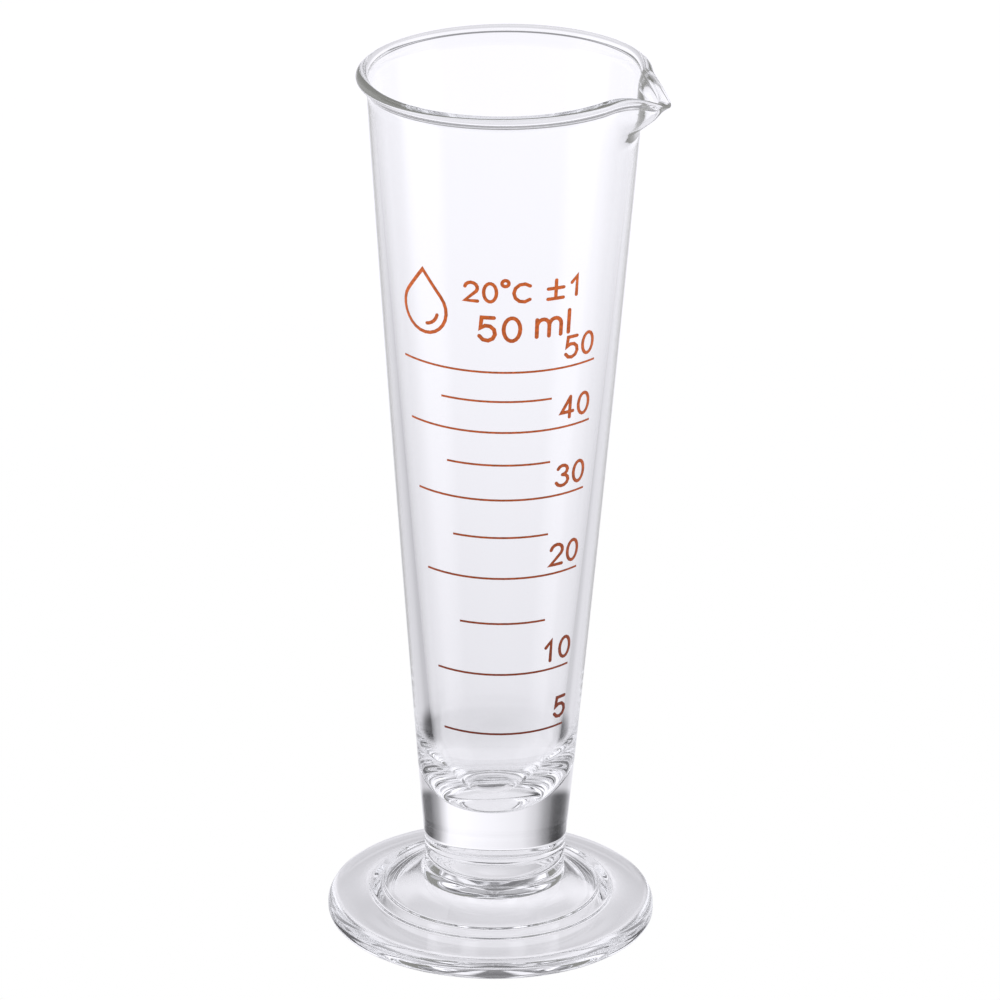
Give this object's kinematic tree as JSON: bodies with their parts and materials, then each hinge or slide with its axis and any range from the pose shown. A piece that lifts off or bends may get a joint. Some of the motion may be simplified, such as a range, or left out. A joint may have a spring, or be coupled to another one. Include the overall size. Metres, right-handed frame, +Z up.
{
  "type": "conical glass measure",
  "caption": "Conical glass measure with a pouring spout and fired graduation marks, standing on a round foot.",
  "frame": {"origin": "centre of the flat ring that the foot stands on", "axes": "+Z up along the foot's axis, -Y towards the side with the graduation marks, the pouring spout on the +X side, 19 degrees towards -Y"},
  "size_m": [0.055, 0.055, 0.1499],
  "materials": {
    "clear_glass": "polished",
    "orange_enamel": "satin"
  },
  "bodies": {
    "root": {"glass_foot": "clear_glass", "glass_bowl": "clear_glass", "capacity_0": "orange_enamel", "capacity_5": "orange_enamel", "capacity_l": "orange_enamel", "capacity_m": "orange_enamel", "drop_highlight": "orange_enamel", "drop_outline": "orange_enamel", "graduation_line_05": "orange_enamel", "graduation_line_10": "orange_enamel", "graduation_line_15": "orange_enamel", "graduation_line_20": "orange_enamel", "graduation_line_25": "orange_enamel", "graduation_line_30": "orange_enamel", "graduation_line_35": "orange_enamel", "graduation_line_40": "orange_enamel", "graduation_line_45": "orange_enamel", "graduation_line_50": "orange_enamel", "numeral_05_units": "orange_enamel", "numeral_10_tens": "orange_enamel", "numeral_10_units": "orange_enamel", "numeral_20_tens": "orange_enamel", "numeral_20_units": "orange_enamel", "numeral_30_tens": "orange_enamel", "numeral_30_units": "orange_enamel", "numeral_40_tens": "orange_enamel", "numeral_40_units": "orange_enamel", "numeral_50_tens": "orange_enamel", "numeral_50_units": "orange_enamel", "temperature_0": "orange_enamel", "temperature_2": "orange_enamel", "temperature_c": "orange_enamel", "temperature_degree": "orange_enamel", "tolerance_1": "orange_enamel", "tolerance_plus_minus": "orange_enamel"}
  },
  "joints": []
}
